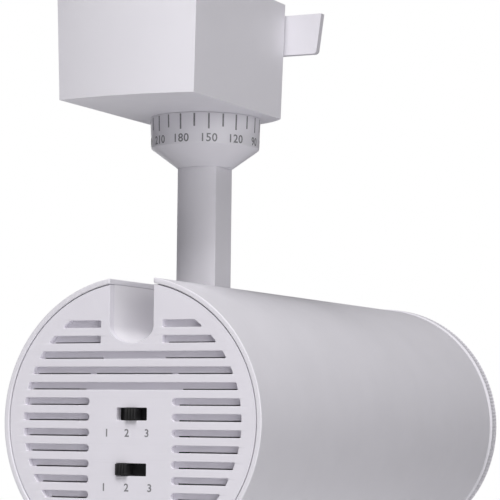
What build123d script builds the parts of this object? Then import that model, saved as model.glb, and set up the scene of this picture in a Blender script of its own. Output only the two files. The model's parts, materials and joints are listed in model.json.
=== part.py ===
from build123d import *
from math import radians, tan
import os

# Track spotlight: adaptor box with a locking lever, swivel collar and stem, tilting round head.
#
# Millimetres. The origin is on the swivel axis, in the adaptor's top face, which lies against the
# track. +Z is up and +X is where the beam points at rest. Places inside the head are given as a
# distance along the tube from its rear rim, and as (y, z) from the tube's own axis.

os.makedirs("parts", exist_ok=True)

# Head tube
TUBE_R = 40.0
TUBE_WALL = 1.5
TUBE_LENGTH = 184.0
REAR_X = -44.3
TUBE_Z = -123.2
SLOT_HALF_WIDTH = 6.85
SLOT_END = 7.2 - REAR_X

# Tilt pivot, which crosses the swivel axis
PIVOT_HEIGHT = 28.7
PIVOT_ALONG = -REAR_X
PIVOT_Z = TUBE_Z + PIVOT_HEIGHT
PIVOT_R = 2.5
RUNNING_GAP = 0.05

# Rear cap
CAP_R = 38.25
CAP_SKIRT_R = 36.25
CAP_FACE = 0.3
CAP_BACK = 2.9
CAP_SKIRT_END = 8.5
NOTCH_FLOOR = 21.5
NOTCH_ROUND = 4.8
POCKET_FLOOR = 20.5
POCKET_ROUND = 3.0
POCKET_LENGTH = 16.0
CHANNEL_WALL = 1.5
CHANNEL_R = 38.4
ROW_PITCH = 4.28
ROW_OFFSET = 1.1
ROW_HEIGHT = 2.05
ROW_DEPTH = 2.1
ROW_FIELD_R = 33.9
NOTCH_ROWS = (5, 6)
FULL_ROWS = (2, 3, 4)
SPLIT_ROWS = range(-7, 2)
NOTCH_LAND = 9.6
SWITCH_LAND = 12.8
SLIT_HEIGHT = 0.35
SLIT_FIELD_R = 33.3

# Slide switches in the rear cap
SWITCH_Y = -0.5
POWER_Z = 2.0
COLOUR_Z = -13.2
WINDOW_WIDTH = 9.4
WINDOW_HEIGHT = 3.5
SWITCH_STEP = 2.7
SWITCH_FRONT = 4.6
SWITCH_BACK = 8.6
DUST_PLATE_FRONT = 3.2
KNOB_WIDTH = 3.6
KNOB_HEIGHT = 3.1
KNOB_PROUD = 1.2

# Stem and swivel collar
STEM_HALF_Y = 6.3
STEM_FLAT_X = 5.2
STEM_TIP_X = 6.7
STEM_TUBE_R = 5.0
STEM_TUBE_TOP = -20.0
LEAD_BORE_R = 3.1
COLLAR_GAP = 0.15
COLLAR_TOP_R = 16.2
COLLAR_R = 15.9
COLLAR_BOTTOM = -43.05
CONE_BOTTOM = -48.7
CONE_R = 8.2

# Adaptor box, measured at its bottom face
BOX_HEIGHT = 34.0
BOX_HALF_Y = 21.0
BOX_BACK_X = -49.3
BOX_FRONT_X = 7.4
BACK_BULGE = 2.5
FRONT_BULGE = 10.2
BOX_DRAFT = 1.65
BOX_WALL = 2.0
BOX_FLOOR = 2.2
COVER_THICKNESS = 2.0
COVER_LEDGE = 1.1
COVER_GAP = 0.15
COVER_SCREWS = [(-44, -16), (-44, 16), (3, -17), (3, 17)]
FLOOR_TOP = BOX_FLOOR - BOX_HEIGHT
BUSH_FLANGE = 1.2

# Locking lever and what goes into the track
LOCK_X = 10.0
LEVER_THICKNESS = 2.2
LEVER_TOP = -3.1
LEVER_BOTTOM = -14.9
LEVER_REACH = 33.1
LEVER_HUB_R = 5.0
PLUG_HEIGHT = 9.0
PLUG_HALF_Y = 8.0
PLUG_X = -26.0

# Heat sink and driver, along the tube
SPINE_BOTTOM = 12.8
SPINE_TOP = 16.8
SPINE_START = 12.0
FIN_START = 116.0
PLATE_START = TUBE_LENGTH - 31.5
PLATE_END = TUBE_LENGTH - 23.5
PLATE_R = 38.2
CASE_START = 14.0
CASE_END = 100.0
CASE_HALF_Y = 25.0
CASE_BOTTOM = -22.0
CASE_WALL = 1.5
BOARD_BOTTOM = -18.5
BOARD_TOP = -16.9

# Light source and front end, along the tube
LED_BOARD_END = PLATE_END + 1.6
HOLDER_END = PLATE_END + 4.5
REFLECTOR_START = PLATE_END + 4.7
REFLECTOR_END = TUBE_LENGTH - 1.5
BEZEL_NECK_START = TUBE_LENGTH - 7.0
BEZEL_START = TUBE_LENGTH + 0.2
BEZEL_END = TUBE_LENGTH + 6.3
BEZEL_LIP = BEZEL_END - 1.8
BEZEL_R = 40.4
BEZEL_NECK_R = 38.2
BEZEL_BORE_R = 36.9
BEZEL_MOUTH_R = 34.0


def across(distance):
    """Plane across the head at a distance from the rear rim. Its x is Y and its y is Z."""
    return Plane(origin=(REAR_X + distance, 0, TUBE_Z), x_dir=(0, 1, 0), z_dir=(1, 0, 0))


def level(height):
    """Level plane in the head at a height above the tube's axis. Its x runs along the tube."""
    return Plane(origin=(REAR_X, 0, TUBE_Z + height), x_dir=(1, 0, 0), z_dir=(0, 0, 1))


def draft_at(height):
    """How far the box's sides have moved out at a height above its bottom."""
    return height * tan(radians(BOX_DRAFT))


def box_outline(inset):
    """Face of the adaptor box's outline at its bottom, moved inwards by inset."""
    side = BOX_HALF_Y - inset
    back = BOX_BACK_X + inset
    back_tip = back - BACK_BULGE
    front_tip = BOX_FRONT_X + FRONT_BULGE - inset
    with BuildSketch() as outline:
        with BuildLine():
            Line((back, -side), (BOX_FRONT_X, -side))
            ThreePointArc((BOX_FRONT_X, -side), (front_tip, 0), (BOX_FRONT_X, side))
            Line((BOX_FRONT_X, side), (back, side))
            ThreePointArc((back, side), (back_tip, 0), (back, -side))
        make_face()
    return outline.sketch


def notch(half_width, floor, bottom_height, top):
    """U shape that is open at the top, on an elliptical bottom."""
    spring_line = floor + bottom_height
    with Locations((0, spring_line)):
        Ellipse(half_width, bottom_height)
    with Locations((0, (spring_line + top) / 2)):
        Rectangle(2 * half_width, top - spring_line)


def row_height(row):
    """Height of a louvre row's middle above the tube's axis."""
    return ROW_OFFSET + row * ROW_PITCH


# ---------------------------------------------------------------- adaptor

with BuildPart() as adaptor_housing:
    with BuildSketch(Plane.XY.offset(-BOX_HEIGHT)):
        add(box_outline(0))
    extrude(amount=BOX_HEIGHT, taper=-BOX_DRAFT)
    with BuildSketch(Plane.XY.offset(FLOOR_TOP)):
        add(box_outline(BOX_WALL - draft_at(BOX_FLOOR)))
    extrude(amount=BOX_HEIGHT, taper=-BOX_DRAFT, mode=Mode.SUBTRACT)
    with BuildSketch(Plane.XY.offset(FLOOR_TOP)):
        with Locations(COVER_SCREWS):
            Circle(3)
    extrude(amount=-FLOOR_TOP - COVER_THICKNESS)
    with BuildSketch(Plane.XY.offset(-COVER_THICKNESS)):
        add(box_outline(COVER_LEDGE - draft_at(BOX_HEIGHT)))
    extrude(amount=COVER_THICKNESS + 1, mode=Mode.SUBTRACT)
    with BuildSketch(Plane.XY.offset(FLOOR_TOP)):
        Circle(6.6)
    extrude(amount=-BOX_FLOOR, mode=Mode.SUBTRACT)
    with BuildSketch(Plane.XY.offset(-COVER_THICKNESS)):
        with Locations(COVER_SCREWS):
            Circle(1.02)
    extrude(amount=-10, mode=Mode.SUBTRACT)
    # Window that the lever sweeps through, round the box's front right corner.
    with BuildSketch(Plane.XY.offset(LEVER_BOTTOM - 0.3)):
        with Locations((LOCK_X - 2.1, 2)):
            Rectangle(40, 50, align=(Align.MIN, Align.MAX))
    extrude(amount=LEVER_TOP - LEVER_BOTTOM + 0.6, mode=Mode.SUBTRACT)
adaptor_housing.part.label = "adaptor_housing"
export_step(adaptor_housing.part, "parts/adaptor_housing.step")

with BuildPart() as adaptor_cover:
    with BuildSketch(Plane.XY.offset(-COVER_THICKNESS)):
        add(box_outline(COVER_LEDGE - draft_at(BOX_HEIGHT) + COVER_GAP))
        with Locations((LOCK_X, 0)):
            Circle(4.1, mode=Mode.SUBTRACT)
    extrude(amount=COVER_THICKNESS)
    with Locations(*[(x, y, 0) for x, y in COVER_SCREWS]):
        CounterSinkHole(1.25, 2.6)
adaptor_cover.part.label = "adaptor_cover"
export_step(adaptor_cover.part, "parts/adaptor_cover.step")

with BuildPart() as cover_screws:
    for x, y in COVER_SCREWS:
        with BuildSketch(Plane((x, y, 0), x_dir=(1, 0, 0), z_dir=(0, -1, 0))):
            Polygon((0, -0.1), (2.3, -0.1), (1.0, -1.4), (1.0, -8), (0, -9), align=None)
        revolve(axis=Axis((x, y, 0), (0, 0, 1)))
    with Locations(*[(x, y, 0) for x, y in COVER_SCREWS]):
        Box(2.8, 0.5, 1.4, mode=Mode.SUBTRACT)
        Box(0.5, 2.8, 1.4, mode=Mode.SUBTRACT)
cover_screws.part.label = "cover_screws"
export_step(cover_screws.part, "parts/cover_screws.step")

with BuildPart() as track_rib:
    with BuildSketch(Plane.XY):
        with Locations((PLUG_X, 0)):
            RectangleRounded(42, 2 * PLUG_HALF_Y, 1.5)
    extrude(amount=PLUG_HEIGHT)
    chamfer(track_rib.faces().sort_by(Axis.Z)[-1].edges(), 1.0)
    with BuildSketch(Plane.XY.offset(PLUG_HEIGHT)):
        with Locations((PLUG_X, 0)):
            SlotOverall(34, 5)
    extrude(amount=-5, mode=Mode.SUBTRACT)
    for side in (-1, 1):
        with Locations((PLUG_X, side * PLUG_HALF_Y, 4)):
            Box(26, 1.2, 3.2, mode=Mode.SUBTRACT)
track_rib.part.label = "track_rib"
export_step(track_rib.part, "parts/track_rib.step")

with BuildPart() as earth_contacts:
    for side in (-1, 1):
        with BuildSketch(Plane.XY.offset(2.8)):
            with BuildLine():
                Polyline(
                    (PLUG_X - 12, side * 7.45),
                    (PLUG_X - 4, side * 8.6),
                    (PLUG_X + 4, side * 8.6),
                    (PLUG_X + 12, side * 7.45),
                    (PLUG_X + 12, side * 7.85),
                    (PLUG_X + 4, side * 9.0),
                    (PLUG_X - 4, side * 9.0),
                    (PLUG_X - 12, side * 7.85),
                    close=True,
                )
            make_face()
        extrude(amount=2.4)
earth_contacts.part.label = "earth_contacts"
export_step(earth_contacts.part, "parts/earth_contacts.step")

with BuildPart() as terminal_block:
    with Locations((-28, 0, FLOOR_TOP)):
        Box(14, 24, 11, align=(Align.CENTER, Align.CENTER, Align.MIN))
    fillet(terminal_block.edges().filter_by(Axis.Z), 1)
    with Locations((-28, 0, FLOOR_TOP + 11)):
        with GridLocations(7, 8, 2, 3):
            CounterBoreHole(0.9, 1.8, 3.5, depth=8)
    with Locations((-28, 0, FLOOR_TOP + 4)):
        with GridLocations(0, 8, 1, 3):
            Box(16, 3, 3, mode=Mode.SUBTRACT)
terminal_block.part.label = "terminal_block"
export_step(terminal_block.part, "parts/terminal_block.step")

with BuildPart() as swivel_bush:
    with BuildSketch(Plane.XY.offset(-BOX_HEIGHT)):
        Circle(6.58)
    extrude(amount=BOX_FLOOR)
    with BuildSketch(Plane.XY.offset(FLOOR_TOP)):
        Circle(10.5)
    extrude(amount=BUSH_FLANGE)
    with BuildSketch(Plane.XY.offset(-BOX_HEIGHT)):
        Circle(STEM_TUBE_R + RUNNING_GAP)
    extrude(amount=BOX_FLOOR + BUSH_FLANGE, mode=Mode.SUBTRACT)
swivel_bush.part.label = "swivel_bush"
export_step(swivel_bush.part, "parts/swivel_bush.step")

# ---------------------------------------------------------------- track lock, turns about Z

with BuildPart() as lock_lever:
    with BuildSketch(Plane.YZ.offset(LOCK_X - LEVER_THICKNESS / 2)) as lever_blade:
        Polygon(
            (-4, LEVER_TOP),
            (-4, LEVER_BOTTOM),
            (1.6 - LEVER_REACH, LEVER_BOTTOM),
            (-LEVER_REACH, LEVER_TOP),
            align=None,
        )
        fillet(lever_blade.vertices().group_by(Axis.Y)[0].sort_by(Axis.X)[0], 1.2)
    extrude(amount=LEVER_THICKNESS)
    with BuildSketch(Plane.XY.offset(LEVER_BOTTOM)):
        with Locations((LOCK_X, 0)):
            Circle(LEVER_HUB_R)
    extrude(amount=LEVER_TOP - LEVER_BOTTOM)
    with BuildSketch(Plane.XY.offset(LEVER_BOTTOM)):
        with Locations((LOCK_X, 0)):
            Circle(3.02)
    extrude(amount=LEVER_TOP - LEVER_BOTTOM, mode=Mode.SUBTRACT)
lock_lever.part.label = "lock_lever"
export_step(lock_lever.part, "parts/lock_lever.step")

with BuildPart() as lock_spindle:
    with BuildSketch(Plane.XY.offset(-14)):
        with Locations((LOCK_X, 0)):
            Circle(3)
    extrude(amount=12)
    with BuildSketch(Plane.XY.offset(-2.5)):
        with Locations((LOCK_X, 0)):
            Circle(4)
    extrude(amount=3.5)
    with BuildSketch(Plane.XY.offset(0.4)):
        with Locations((LOCK_X, 0)):
            Circle(6)
    extrude(amount=PLUG_HEIGHT - 0.4)
    with BuildSketch(Plane.XY.offset(6)):
        with Locations((LOCK_X, 0)):
            SlotOverall(26, 7)
    extrude(amount=2.6)
    with BuildSketch(Plane.XY.offset(-14)):
        with Locations((LOCK_X, 0)):
            Circle(1.27)
    extrude(amount=10, mode=Mode.SUBTRACT)
lock_spindle.part.label = "lock_spindle"
export_step(lock_spindle.part, "parts/lock_spindle.step")

with BuildPart() as lever_screw:
    with BuildSketch(Plane.XY.offset(LEVER_BOTTOM - 2.2)):
        with Locations((LOCK_X, 0)):
            Circle(4)
    extrude(amount=2.2)
    with BuildSketch(Plane.XY.offset(LEVER_BOTTOM)):
        with Locations((LOCK_X, 0)):
            Circle(1.25)
    extrude(amount=9)
    with Locations((LOCK_X, 0, LEVER_BOTTOM - 2.2)):
        Box(5, 0.8, 1.6, mode=Mode.SUBTRACT)
        Box(0.8, 5, 1.6, mode=Mode.SUBTRACT)
lever_screw.part.label = "lever_screw"
export_step(lever_screw.part, "parts/lever_screw.step")

with BuildPart() as contact_blades:
    with BuildSketch(Plane.XY.offset(2.4)):
        with Locations((LOCK_X, 0)):
            SlotOverall(23, 4.5)
            Circle(6.03, mode=Mode.SUBTRACT)
    extrude(amount=0.8)
contact_blades.part.label = "contact_blades"
export_step(contact_blades.part, "parts/contact_blades.step")

# ---------------------------------------------------------------- stem, turns about Z

with BuildPart() as scale_collar:
    with BuildSketch(Plane.XZ):
        Polygon(
            (STEM_TUBE_R + 0.02, -BOX_HEIGHT - COLLAR_GAP),
            (COLLAR_TOP_R, -BOX_HEIGHT - COLLAR_GAP),
            (COLLAR_R, COLLAR_BOTTOM),
            (CONE_R, CONE_BOTTOM),
            (STEM_TUBE_R + 0.02, CONE_BOTTOM),
            align=None,
        )
    revolve(axis=Axis.Z)
scale_collar.part.label = "scale_collar"
export_step(scale_collar.part, "parts/scale_collar.step")

with BuildPart() as stem_arm:
    with BuildSketch(Plane.XY.offset(PIVOT_Z)):
        with BuildLine():
            Line((-STEM_FLAT_X, -STEM_HALF_Y), (STEM_FLAT_X, -STEM_HALF_Y))
            ThreePointArc((STEM_FLAT_X, -STEM_HALF_Y), (STEM_TIP_X, 0), (STEM_FLAT_X, STEM_HALF_Y))
            Line((STEM_FLAT_X, STEM_HALF_Y), (-STEM_FLAT_X, STEM_HALF_Y))
            ThreePointArc((-STEM_FLAT_X, STEM_HALF_Y), (-STEM_TIP_X, 0), (-STEM_FLAT_X, -STEM_HALF_Y))
        make_face()
    extrude(amount=CONE_BOTTOM - PIVOT_Z)
    # The knuckle is the same section turned about the pivot.
    with BuildSketch(Plane.XY.offset(PIVOT_Z)):
        with BuildLine():
            Polyline(
                (STEM_FLAT_X, -STEM_HALF_Y),
                (0, -STEM_HALF_Y),
                (0, STEM_HALF_Y),
                (STEM_FLAT_X, STEM_HALF_Y),
            )
            ThreePointArc((STEM_FLAT_X, STEM_HALF_Y), (STEM_TIP_X, 0), (STEM_FLAT_X, -STEM_HALF_Y))
        make_face()
    revolve(axis=Axis((0, 0, PIVOT_Z), (0, 1, 0)))
    with BuildSketch(Plane.XY.offset(CONE_BOTTOM)):
        Circle(STEM_TUBE_R)
    extrude(amount=STEM_TUBE_TOP - CONE_BOTTOM)
    with BuildSketch(Plane.XY.offset(STEM_TUBE_TOP)):
        Circle(LEAD_BORE_R)
    extrude(amount=PIVOT_Z - STEM_TIP_X - STEM_TUBE_TOP - 1, mode=Mode.SUBTRACT)
    with BuildSketch(Plane.XZ.offset(-STEM_HALF_Y)):
        with Locations((0, PIVOT_Z)):
            Circle(PIVOT_R + RUNNING_GAP)
    extrude(amount=2 * STEM_HALF_Y, mode=Mode.SUBTRACT)
stem_arm.part.label = "stem_arm"
export_step(stem_arm.part, "parts/stem_arm.step")

WASHER_BOTTOM = FLOOR_TOP + BUSH_FLANGE + RUNNING_GAP
NUT_BOTTOM = WASHER_BOTTOM + 1.2

with BuildPart() as swivel_washer:
    with BuildSketch(Plane.XY.offset(WASHER_BOTTOM)):
        Circle(9.5)
        Circle(STEM_TUBE_R + 0.05, mode=Mode.SUBTRACT)
    extrude(amount=NUT_BOTTOM - WASHER_BOTTOM)
swivel_washer.part.label = "swivel_washer"
export_step(swivel_washer.part, "parts/swivel_washer.step")

with BuildPart() as swivel_nut:
    with BuildSketch(Plane.XY.offset(NUT_BOTTOM)):
        RegularPolygon(8.1, 6)
        Circle(STEM_TUBE_R + 0.02, mode=Mode.SUBTRACT)
    extrude(amount=4.5)
swivel_nut.part.label = "swivel_nut"
export_step(swivel_nut.part, "parts/swivel_nut.step")

with BuildPart() as stem_lead:
    with BuildSketch(Plane.XY.offset(PIVOT_Z - STEM_FLAT_X)):
        Circle(2.6)
    extrude(amount=STEM_TUBE_TOP + 2 - PIVOT_Z + STEM_FLAT_X)
stem_lead.part.label = "stem_lead"
export_step(stem_lead.part, "parts/stem_lead.step")

# ---------------------------------------------------------------- head, tilts about Y

with BuildPart() as head_tube:
    with BuildSketch(across(0)):
        Circle(TUBE_R)
        Circle(TUBE_R - TUBE_WALL, mode=Mode.SUBTRACT)
    extrude(amount=TUBE_LENGTH)
    with BuildSketch(level(0)):
        with Locations((0, 0)):
            Rectangle(2 * SLOT_END, 2 * SLOT_HALF_WIDTH)
    extrude(amount=TUBE_R + 1, mode=Mode.SUBTRACT)
head_tube.part.label = "head_tube"
export_step(head_tube.part, "parts/head_tube.step")

with BuildPart() as rear_cap:
    with BuildSketch(across(CAP_FACE)):
        Circle(CAP_R)
    extrude(amount=CAP_BACK - CAP_FACE)
    with BuildSketch(across(CAP_BACK)):
        Circle(CAP_R)
        Circle(CAP_SKIRT_R, mode=Mode.SUBTRACT)
        with Locations((0, TUBE_R)):
            Rectangle(17.2, 20, mode=Mode.SUBTRACT)
    extrude(amount=CAP_SKIRT_END - CAP_BACK)
    with BuildSketch(across(CAP_FACE)):
        notch(SLOT_HALF_WIDTH, NOTCH_FLOOR, NOTCH_ROUND, TUBE_R + 2)
        for switch_z in (POWER_Z, COLOUR_Z):
            with Locations((SWITCH_Y, switch_z)):
                Rectangle(WINDOW_WIDTH, WINDOW_HEIGHT)
    extrude(amount=CAP_BACK - CAP_FACE, mode=Mode.SUBTRACT)
    # Louvre pockets: rows across a round field, parted by the notch and by the switch plate.
    with BuildSketch(across(CAP_FACE)):
        for row in (*NOTCH_ROWS, *FULL_ROWS, *SPLIT_ROWS):
            with Locations((0, row_height(row))):
                Rectangle(2 * ROW_FIELD_R, ROW_HEIGHT)
        Circle(ROW_FIELD_R, mode=Mode.INTERSECT)
        for row in NOTCH_ROWS:
            with Locations((0, row_height(row))):
                Rectangle(2 * NOTCH_LAND, ROW_HEIGHT + 1, mode=Mode.SUBTRACT)
        for row in SPLIT_ROWS:
            inner_end = SWITCH_LAND + ROW_HEIGHT / 2
            with Locations((0, row_height(row))):
                Rectangle(2 * inner_end, ROW_HEIGHT + 1, mode=Mode.SUBTRACT)
            with Locations((-inner_end, row_height(row)), (inner_end, row_height(row))):
                Circle(ROW_HEIGHT / 2)
    extrude(amount=ROW_DEPTH, mode=Mode.SUBTRACT)
    # Vent slit through the plate along the lower edge of each pocket.
    with BuildSketch(across(CAP_FACE + ROW_DEPTH)):
        for row in (*NOTCH_ROWS, *FULL_ROWS, *SPLIT_ROWS):
            with Locations((0, row_height(row) - ROW_HEIGHT / 2)):
                Rectangle(2 * SLIT_FIELD_R, SLIT_HEIGHT, align=(Align.CENTER, Align.MIN))
        Circle(SLIT_FIELD_R, mode=Mode.INTERSECT)
        slit_lands = {row: SWITCH_LAND + 1.2 for row in SPLIT_ROWS}
        slit_lands.update({6: NOTCH_LAND + 3, 5: NOTCH_LAND + 1, 4: NOTCH_LAND, 2: 15})
        for row, land in slit_lands.items():
            with Locations((0, row_height(row) - ROW_HEIGHT / 2)):
                Rectangle(2 * land, 2, mode=Mode.SUBTRACT)
        with Locations((-SWITCH_LAND, row_height(3) - 1), (SWITCH_LAND, row_height(3) - 1)):
            Rectangle(1.8, 2, mode=Mode.SUBTRACT)
    extrude(amount=CAP_BACK - CAP_FACE - ROW_DEPTH, mode=Mode.SUBTRACT)
rear_cap.part.label = "rear_cap"
export_step(rear_cap.part, "parts/rear_cap.step")

# The stem folds back into this channel, whose deeper front end clears the knuckle.
POCKET_START = PIVOT_ALONG - POCKET_LENGTH
OUTER_HALF_WIDTH = SLOT_HALF_WIDTH + CHANNEL_WALL

with BuildPart() as stem_channel:
    with BuildSketch(across(CAP_BACK)):
        notch(OUTER_HALF_WIDTH, NOTCH_FLOOR - CHANNEL_WALL, NOTCH_ROUND + CHANNEL_WALL, TUBE_R)
        Circle(CHANNEL_R, mode=Mode.INTERSECT)
    extrude(amount=POCKET_START - CAP_BACK)
    with BuildSketch(across(POCKET_START - CHANNEL_WALL)):
        notch(OUTER_HALF_WIDTH, POCKET_FLOOR - CHANNEL_WALL, POCKET_ROUND + CHANNEL_WALL, TUBE_R)
        Circle(CHANNEL_R, mode=Mode.INTERSECT)
    extrude(amount=SLOT_END - POCKET_START + 2 * CHANNEL_WALL)
    with BuildSketch(across(CAP_BACK)):
        notch(SLOT_HALF_WIDTH, NOTCH_FLOOR, NOTCH_ROUND, TUBE_R)
    extrude(amount=POCKET_START - CAP_BACK, mode=Mode.SUBTRACT)
    with BuildSketch(across(POCKET_START)):
        notch(SLOT_HALF_WIDTH, POCKET_FLOOR, POCKET_ROUND, TUBE_R)
    extrude(amount=SLOT_END - POCKET_START, mode=Mode.SUBTRACT)
    with BuildSketch(Plane.XZ.offset(-10)):
        with Locations((0, PIVOT_Z)):
            Circle(PIVOT_R + 0.1)
    extrude(amount=20, mode=Mode.SUBTRACT)
    # Opening for the lead below the knuckle.
    with BuildSketch(level(POCKET_FLOOR - 3)):
        with Locations((PIVOT_ALONG, 0)):
            SlotOverall(12, 7)
    extrude(amount=6, mode=Mode.SUBTRACT)
stem_channel.part.label = "stem_channel"
export_step(stem_channel.part, "parts/stem_channel.step")

BRACKET_INNER = SLOT_HALF_WIDTH + 1.6
BRACKET_OUTER = BRACKET_INNER + 2.0
BRACKET_TOP = 35.8
BRACKET_SCREWS = [(PIVOT_ALONG + x, y) for x in (-9, 9) for y in (-15, 15)]

with BuildPart() as pivot_bracket:
    with BuildSketch(level(SPINE_TOP)):
        with Locations((PIVOT_ALONG, 0)):
            RectangleRounded(28, 40, 3)
    extrude(amount=2)
    for side in (-1, 1):
        with BuildSketch(Plane.XZ.offset(side * BRACKET_INNER)):
            with Locations((0, TUBE_Z + SPINE_TOP)):
                Rectangle(16, BRACKET_TOP - 8 - SPINE_TOP, align=(Align.CENTER, Align.MIN))
            with Locations((0, TUBE_Z + BRACKET_TOP - 8)):
                Circle(8)
        extrude(amount=side * 2)
    with BuildSketch(Plane.XZ.offset(-12)):
        with Locations((0, PIVOT_Z)):
            Circle(PIVOT_R + 0.02)
    extrude(amount=24, mode=Mode.SUBTRACT)
    with BuildSketch(level(SPINE_TOP)):
        with Locations(BRACKET_SCREWS):
            Circle(1.8)
    extrude(amount=2, mode=Mode.SUBTRACT)
pivot_bracket.part.label = "pivot_bracket"
export_step(pivot_bracket.part, "parts/pivot_bracket.step")

with BuildPart() as pivot_screws:
    for side in (-1, 1):
        with BuildSketch(Plane.XZ.offset(side * 3.5)):
            with Locations((0, PIVOT_Z)):
                Circle(PIVOT_R)
        extrude(amount=side * (BRACKET_OUTER - 3.5))
        with BuildSketch(Plane.XZ.offset(side * BRACKET_OUTER)):
            with Locations((0, PIVOT_Z)):
                Circle(4.2)
        extrude(amount=side * 1.8)
        with BuildSketch(Plane.XZ.offset(side * (BRACKET_OUTER + 1.8))):
            with Locations((0, PIVOT_Z)):
                RegularPolygon(1.7, 6)
        extrude(amount=side * -1.2, mode=Mode.SUBTRACT)
pivot_screws.part.label = "pivot_screws"
export_step(pivot_screws.part, "parts/pivot_screws.step")

with BuildPart() as friction_washers:
    for side in (-1, 1):
        with BuildSketch(Plane.XZ.offset(side * (STEM_HALF_Y + RUNNING_GAP))):
            with Locations((0, PIVOT_Z)):
                Circle(4.6)
                Circle(PIVOT_R + 0.02, mode=Mode.SUBTRACT)
        extrude(amount=side * 0.4)
friction_washers.part.label = "friction_washers"
export_step(friction_washers.part, "parts/friction_washers.step")

with BuildPart() as bracket_screws:
    with BuildSketch(level(SPINE_TOP + 2)):
        with Locations(BRACKET_SCREWS):
            Circle(3)
    extrude(amount=2)
    with BuildSketch(level(SPINE_TOP + 4)):
        with Locations(BRACKET_SCREWS):
            RegularPolygon(1.6, 6)
    extrude(amount=-1.2, mode=Mode.SUBTRACT)
    with BuildSketch(level(SPINE_TOP + 2)):
        with Locations(BRACKET_SCREWS):
            Circle(1.6)
    extrude(amount=-5.5)
bracket_screws.part.label = "bracket_screws"
export_step(bracket_screws.part, "parts/bracket_screws.step")

HOLDER_SCREW_Y = 21.0
CASE_TABS = [(x, side * 28.5) for x in (30, 84) for side in (-1, 1)]

with BuildPart() as heat_sink:
    with BuildSketch(across(PLATE_START)):
        Circle(PLATE_R)
    extrude(amount=PLATE_END - PLATE_START)
    with BuildSketch(across(FIN_START)):
        with GridLocations(6, 0, 11, 1):
            Rectangle(1.6, 72)
        Circle(36, mode=Mode.INTERSECT)
    extrude(amount=PLATE_START - FIN_START)
    with BuildSketch(level(SPINE_BOTTOM)):
        with Locations((SPINE_START, 0)):
            Rectangle(PLATE_START - SPINE_START, 64, align=(Align.MIN, Align.CENTER))
    extrude(amount=SPINE_TOP - SPINE_BOTTOM)
    with BuildSketch(level(SPINE_BOTTOM)):
        with Locations(BRACKET_SCREWS):
            Circle(1.62)
        with Locations(CASE_TABS):
            Circle(1.27)
    extrude(amount=SPINE_TOP - SPINE_BOTTOM, mode=Mode.SUBTRACT)
    with BuildSketch(across(PLATE_END)):
        with Locations((-HOLDER_SCREW_Y, 0), (HOLDER_SCREW_Y, 0)):
            Circle(1.52)
    extrude(amount=-7, mode=Mode.SUBTRACT)
heat_sink.part.label = "heat_sink"
export_step(heat_sink.part, "parts/heat_sink.step")

# ---------------------------------------------------------------- driver and switches

CASE_LENGTH = CASE_END - CASE_START
CASE_MIDDLE = (CASE_START + CASE_END) / 2
CASE_TOP = SPINE_BOTTOM - 0.1

with BuildPart() as driver_case:
    with BuildSketch(level(CASE_BOTTOM)):
        with Locations((CASE_MIDDLE, 0)):
            RectangleRounded(CASE_LENGTH, 2 * CASE_HALF_Y, 3)
    extrude(amount=CASE_TOP - CASE_BOTTOM)
    with BuildSketch(level(CASE_TOP - 2.5)):
        with Locations(CASE_TABS):
            RectangleRounded(11, 9, 2)
    extrude(amount=2.5)
    with BuildSketch(level(CASE_BOTTOM + CASE_WALL)):
        with Locations((CASE_MIDDLE, 0)):
            RectangleRounded(CASE_LENGTH - 2 * CASE_WALL, 2 * (CASE_HALF_Y - CASE_WALL), 1.5)
    extrude(amount=CASE_TOP - CASE_BOTTOM, mode=Mode.SUBTRACT)
    with BuildSketch(level(CASE_BOTTOM + CASE_WALL)):
        with Locations((CASE_MIDDLE, 0)):
            with GridLocations(68, 36, 2, 2):
                Circle(2)
    extrude(amount=BOARD_BOTTOM - CASE_BOTTOM - CASE_WALL)
    with BuildSketch(level(CASE_TOP)):
        with Locations(CASE_TABS):
            Circle(1.5)
    extrude(amount=-2.5, mode=Mode.SUBTRACT)
driver_case.part.label = "driver_case"
export_step(driver_case.part, "parts/driver_case.step")

with BuildPart() as case_screws:
    with BuildSketch(level(CASE_TOP - 2.5)):
        with Locations(CASE_TABS):
            Circle(2.5)
    extrude(amount=-1.8)
    with BuildSketch(level(CASE_TOP - 2.5)):
        with Locations(CASE_TABS):
            Circle(1.25)
    extrude(amount=6)
case_screws.part.label = "case_screws"
export_step(case_screws.part, "parts/case_screws.step")

with BuildPart() as driver_board:
    with BuildSketch(level(BOARD_BOTTOM)):
        with Locations((CASE_MIDDLE, 0)):
            RectangleRounded(80, 44, 1.5)
    extrude(amount=BOARD_TOP - BOARD_BOTTOM)
driver_board.part.label = "driver_board"
export_step(driver_board.part, "parts/driver_board.step")

with BuildPart() as transformer:
    with BuildSketch(level(BOARD_TOP)):
        with Locations((62, 0)):
            Rectangle(24, 12)
    extrude(amount=20)
    with BuildSketch(level(BOARD_TOP + 3)):
        with Locations((62, 0)):
            RectangleRounded(17, 24, 5)
    extrude(amount=14)
transformer.part.label = "transformer"
export_step(transformer.part, "parts/transformer.step")

with BuildPart() as capacitors:
    for x, y, radius, height in ((30, -11, 6, 22), (86, 10, 5, 18), (86, -8, 4, 14)):
        with BuildSketch(level(BOARD_TOP)):
            with Locations((x, y)):
                Circle(radius)
        extrude(amount=height)
    fillet(capacitors.edges().filter_by(GeomType.CIRCLE), 0.6)
capacitors.part.label = "capacitors"
export_step(capacitors.part, "parts/capacitors.step")

with BuildPart() as choke:
    with BuildSketch(level(BOARD_TOP)):
        with Locations((32, 10)):
            Circle(7)
    extrude(amount=2)
    with BuildSketch(level(BOARD_TOP + 2)):
        with Locations((32, 10)):
            Circle(6)
    extrude(amount=8)
    with BuildSketch(level(BOARD_TOP + 10)):
        with Locations((32, 10)):
            Circle(7)
    extrude(amount=2)
choke.part.label = "choke"
export_step(choke.part, "parts/choke.step")

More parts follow.
